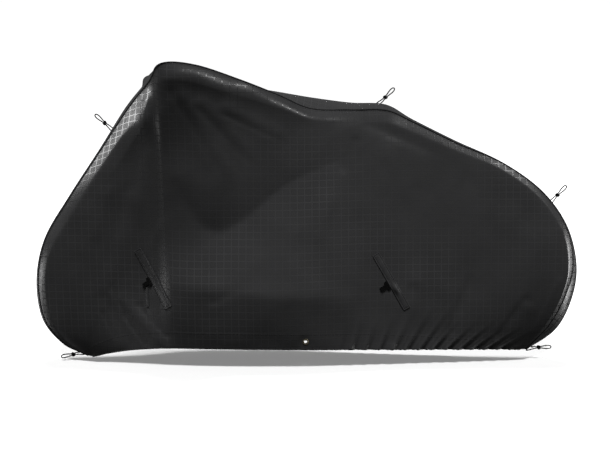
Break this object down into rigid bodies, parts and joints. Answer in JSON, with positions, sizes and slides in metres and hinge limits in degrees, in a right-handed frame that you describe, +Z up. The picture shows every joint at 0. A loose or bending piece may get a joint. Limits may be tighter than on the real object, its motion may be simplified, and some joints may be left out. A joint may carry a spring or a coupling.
{
  "type": "bicycle cover",
  "caption": "Fitted cloth bicycle cover: side panels, a centre strip, gathered hem bands with eyelets, stitched lock flaps, pull tabs and knotted cord loops.",
  "frame": {"origin": "under the cloth at the cover's highest place, in the middle of the centre strip, where what is covered holds the cover up", "axes": "+X from the front end to the rear end, -Y the near side with the loose strap end, +Z up"},
  "size_m": [2.0308, 0.6397, 1.0895],
  "materials": {
    "coated cloth": "black polyurethane-coated ripstop, semi-gloss",
    "flap cloth": "black woven cloth, stitched round its edge",
    "black rubber": "matt",
    "dark cord": "braided, dark grey",
    "aged brass": "antique, satin"
  },
  "bodies": {
    "root": {"strip_front_low": "coated cloth", "strip_front": "coated cloth", "strip_top": "coated cloth", "strip_rear": "coated cloth", "strip_rear_low": "coated cloth", "near_panel_front": "coated cloth", "near_panel_middle": "coated cloth", "near_panel_rear": "coated cloth", "far_panel_front": "coated cloth", "far_panel_middle": "coated cloth", "far_panel_rear": "coated cloth", "near_hem_front": "coated cloth", "near_hem_rear": "coated cloth", "near_hem_eyelet": "coated cloth", "far_hem_front": "coated cloth", "far_hem_rear": "coated cloth", "far_hem_eyelet": "coated cloth", "near_eyelet": "aged brass", "near_front_flap": "flap cloth", "near_front_tab": "black rubber", "near_rear_flap": "flap cloth", "near_rear_tab": "black rubber", "far_eyelet": "aged brass", "far_front_flap": "flap cloth", "far_front_tab": "black rubber", "far_rear_flap": "flap cloth", "far_rear_tab": "black rubber", "strap_end": "flap cloth", "loop_front_low": "dark cord", "knot_front_low": "dark cord", "loop_front_high": "dark cord", "knot_front_high": "dark cord", "loop_top": "dark cord", "knot_top": "dark cord", "loop_rear_high": "dark cord", "knot_rear_high": "dark cord", "loop_rear_low": "dark cord", "knot_rear_low": "dark cord"}
  },
  "joints": []
}
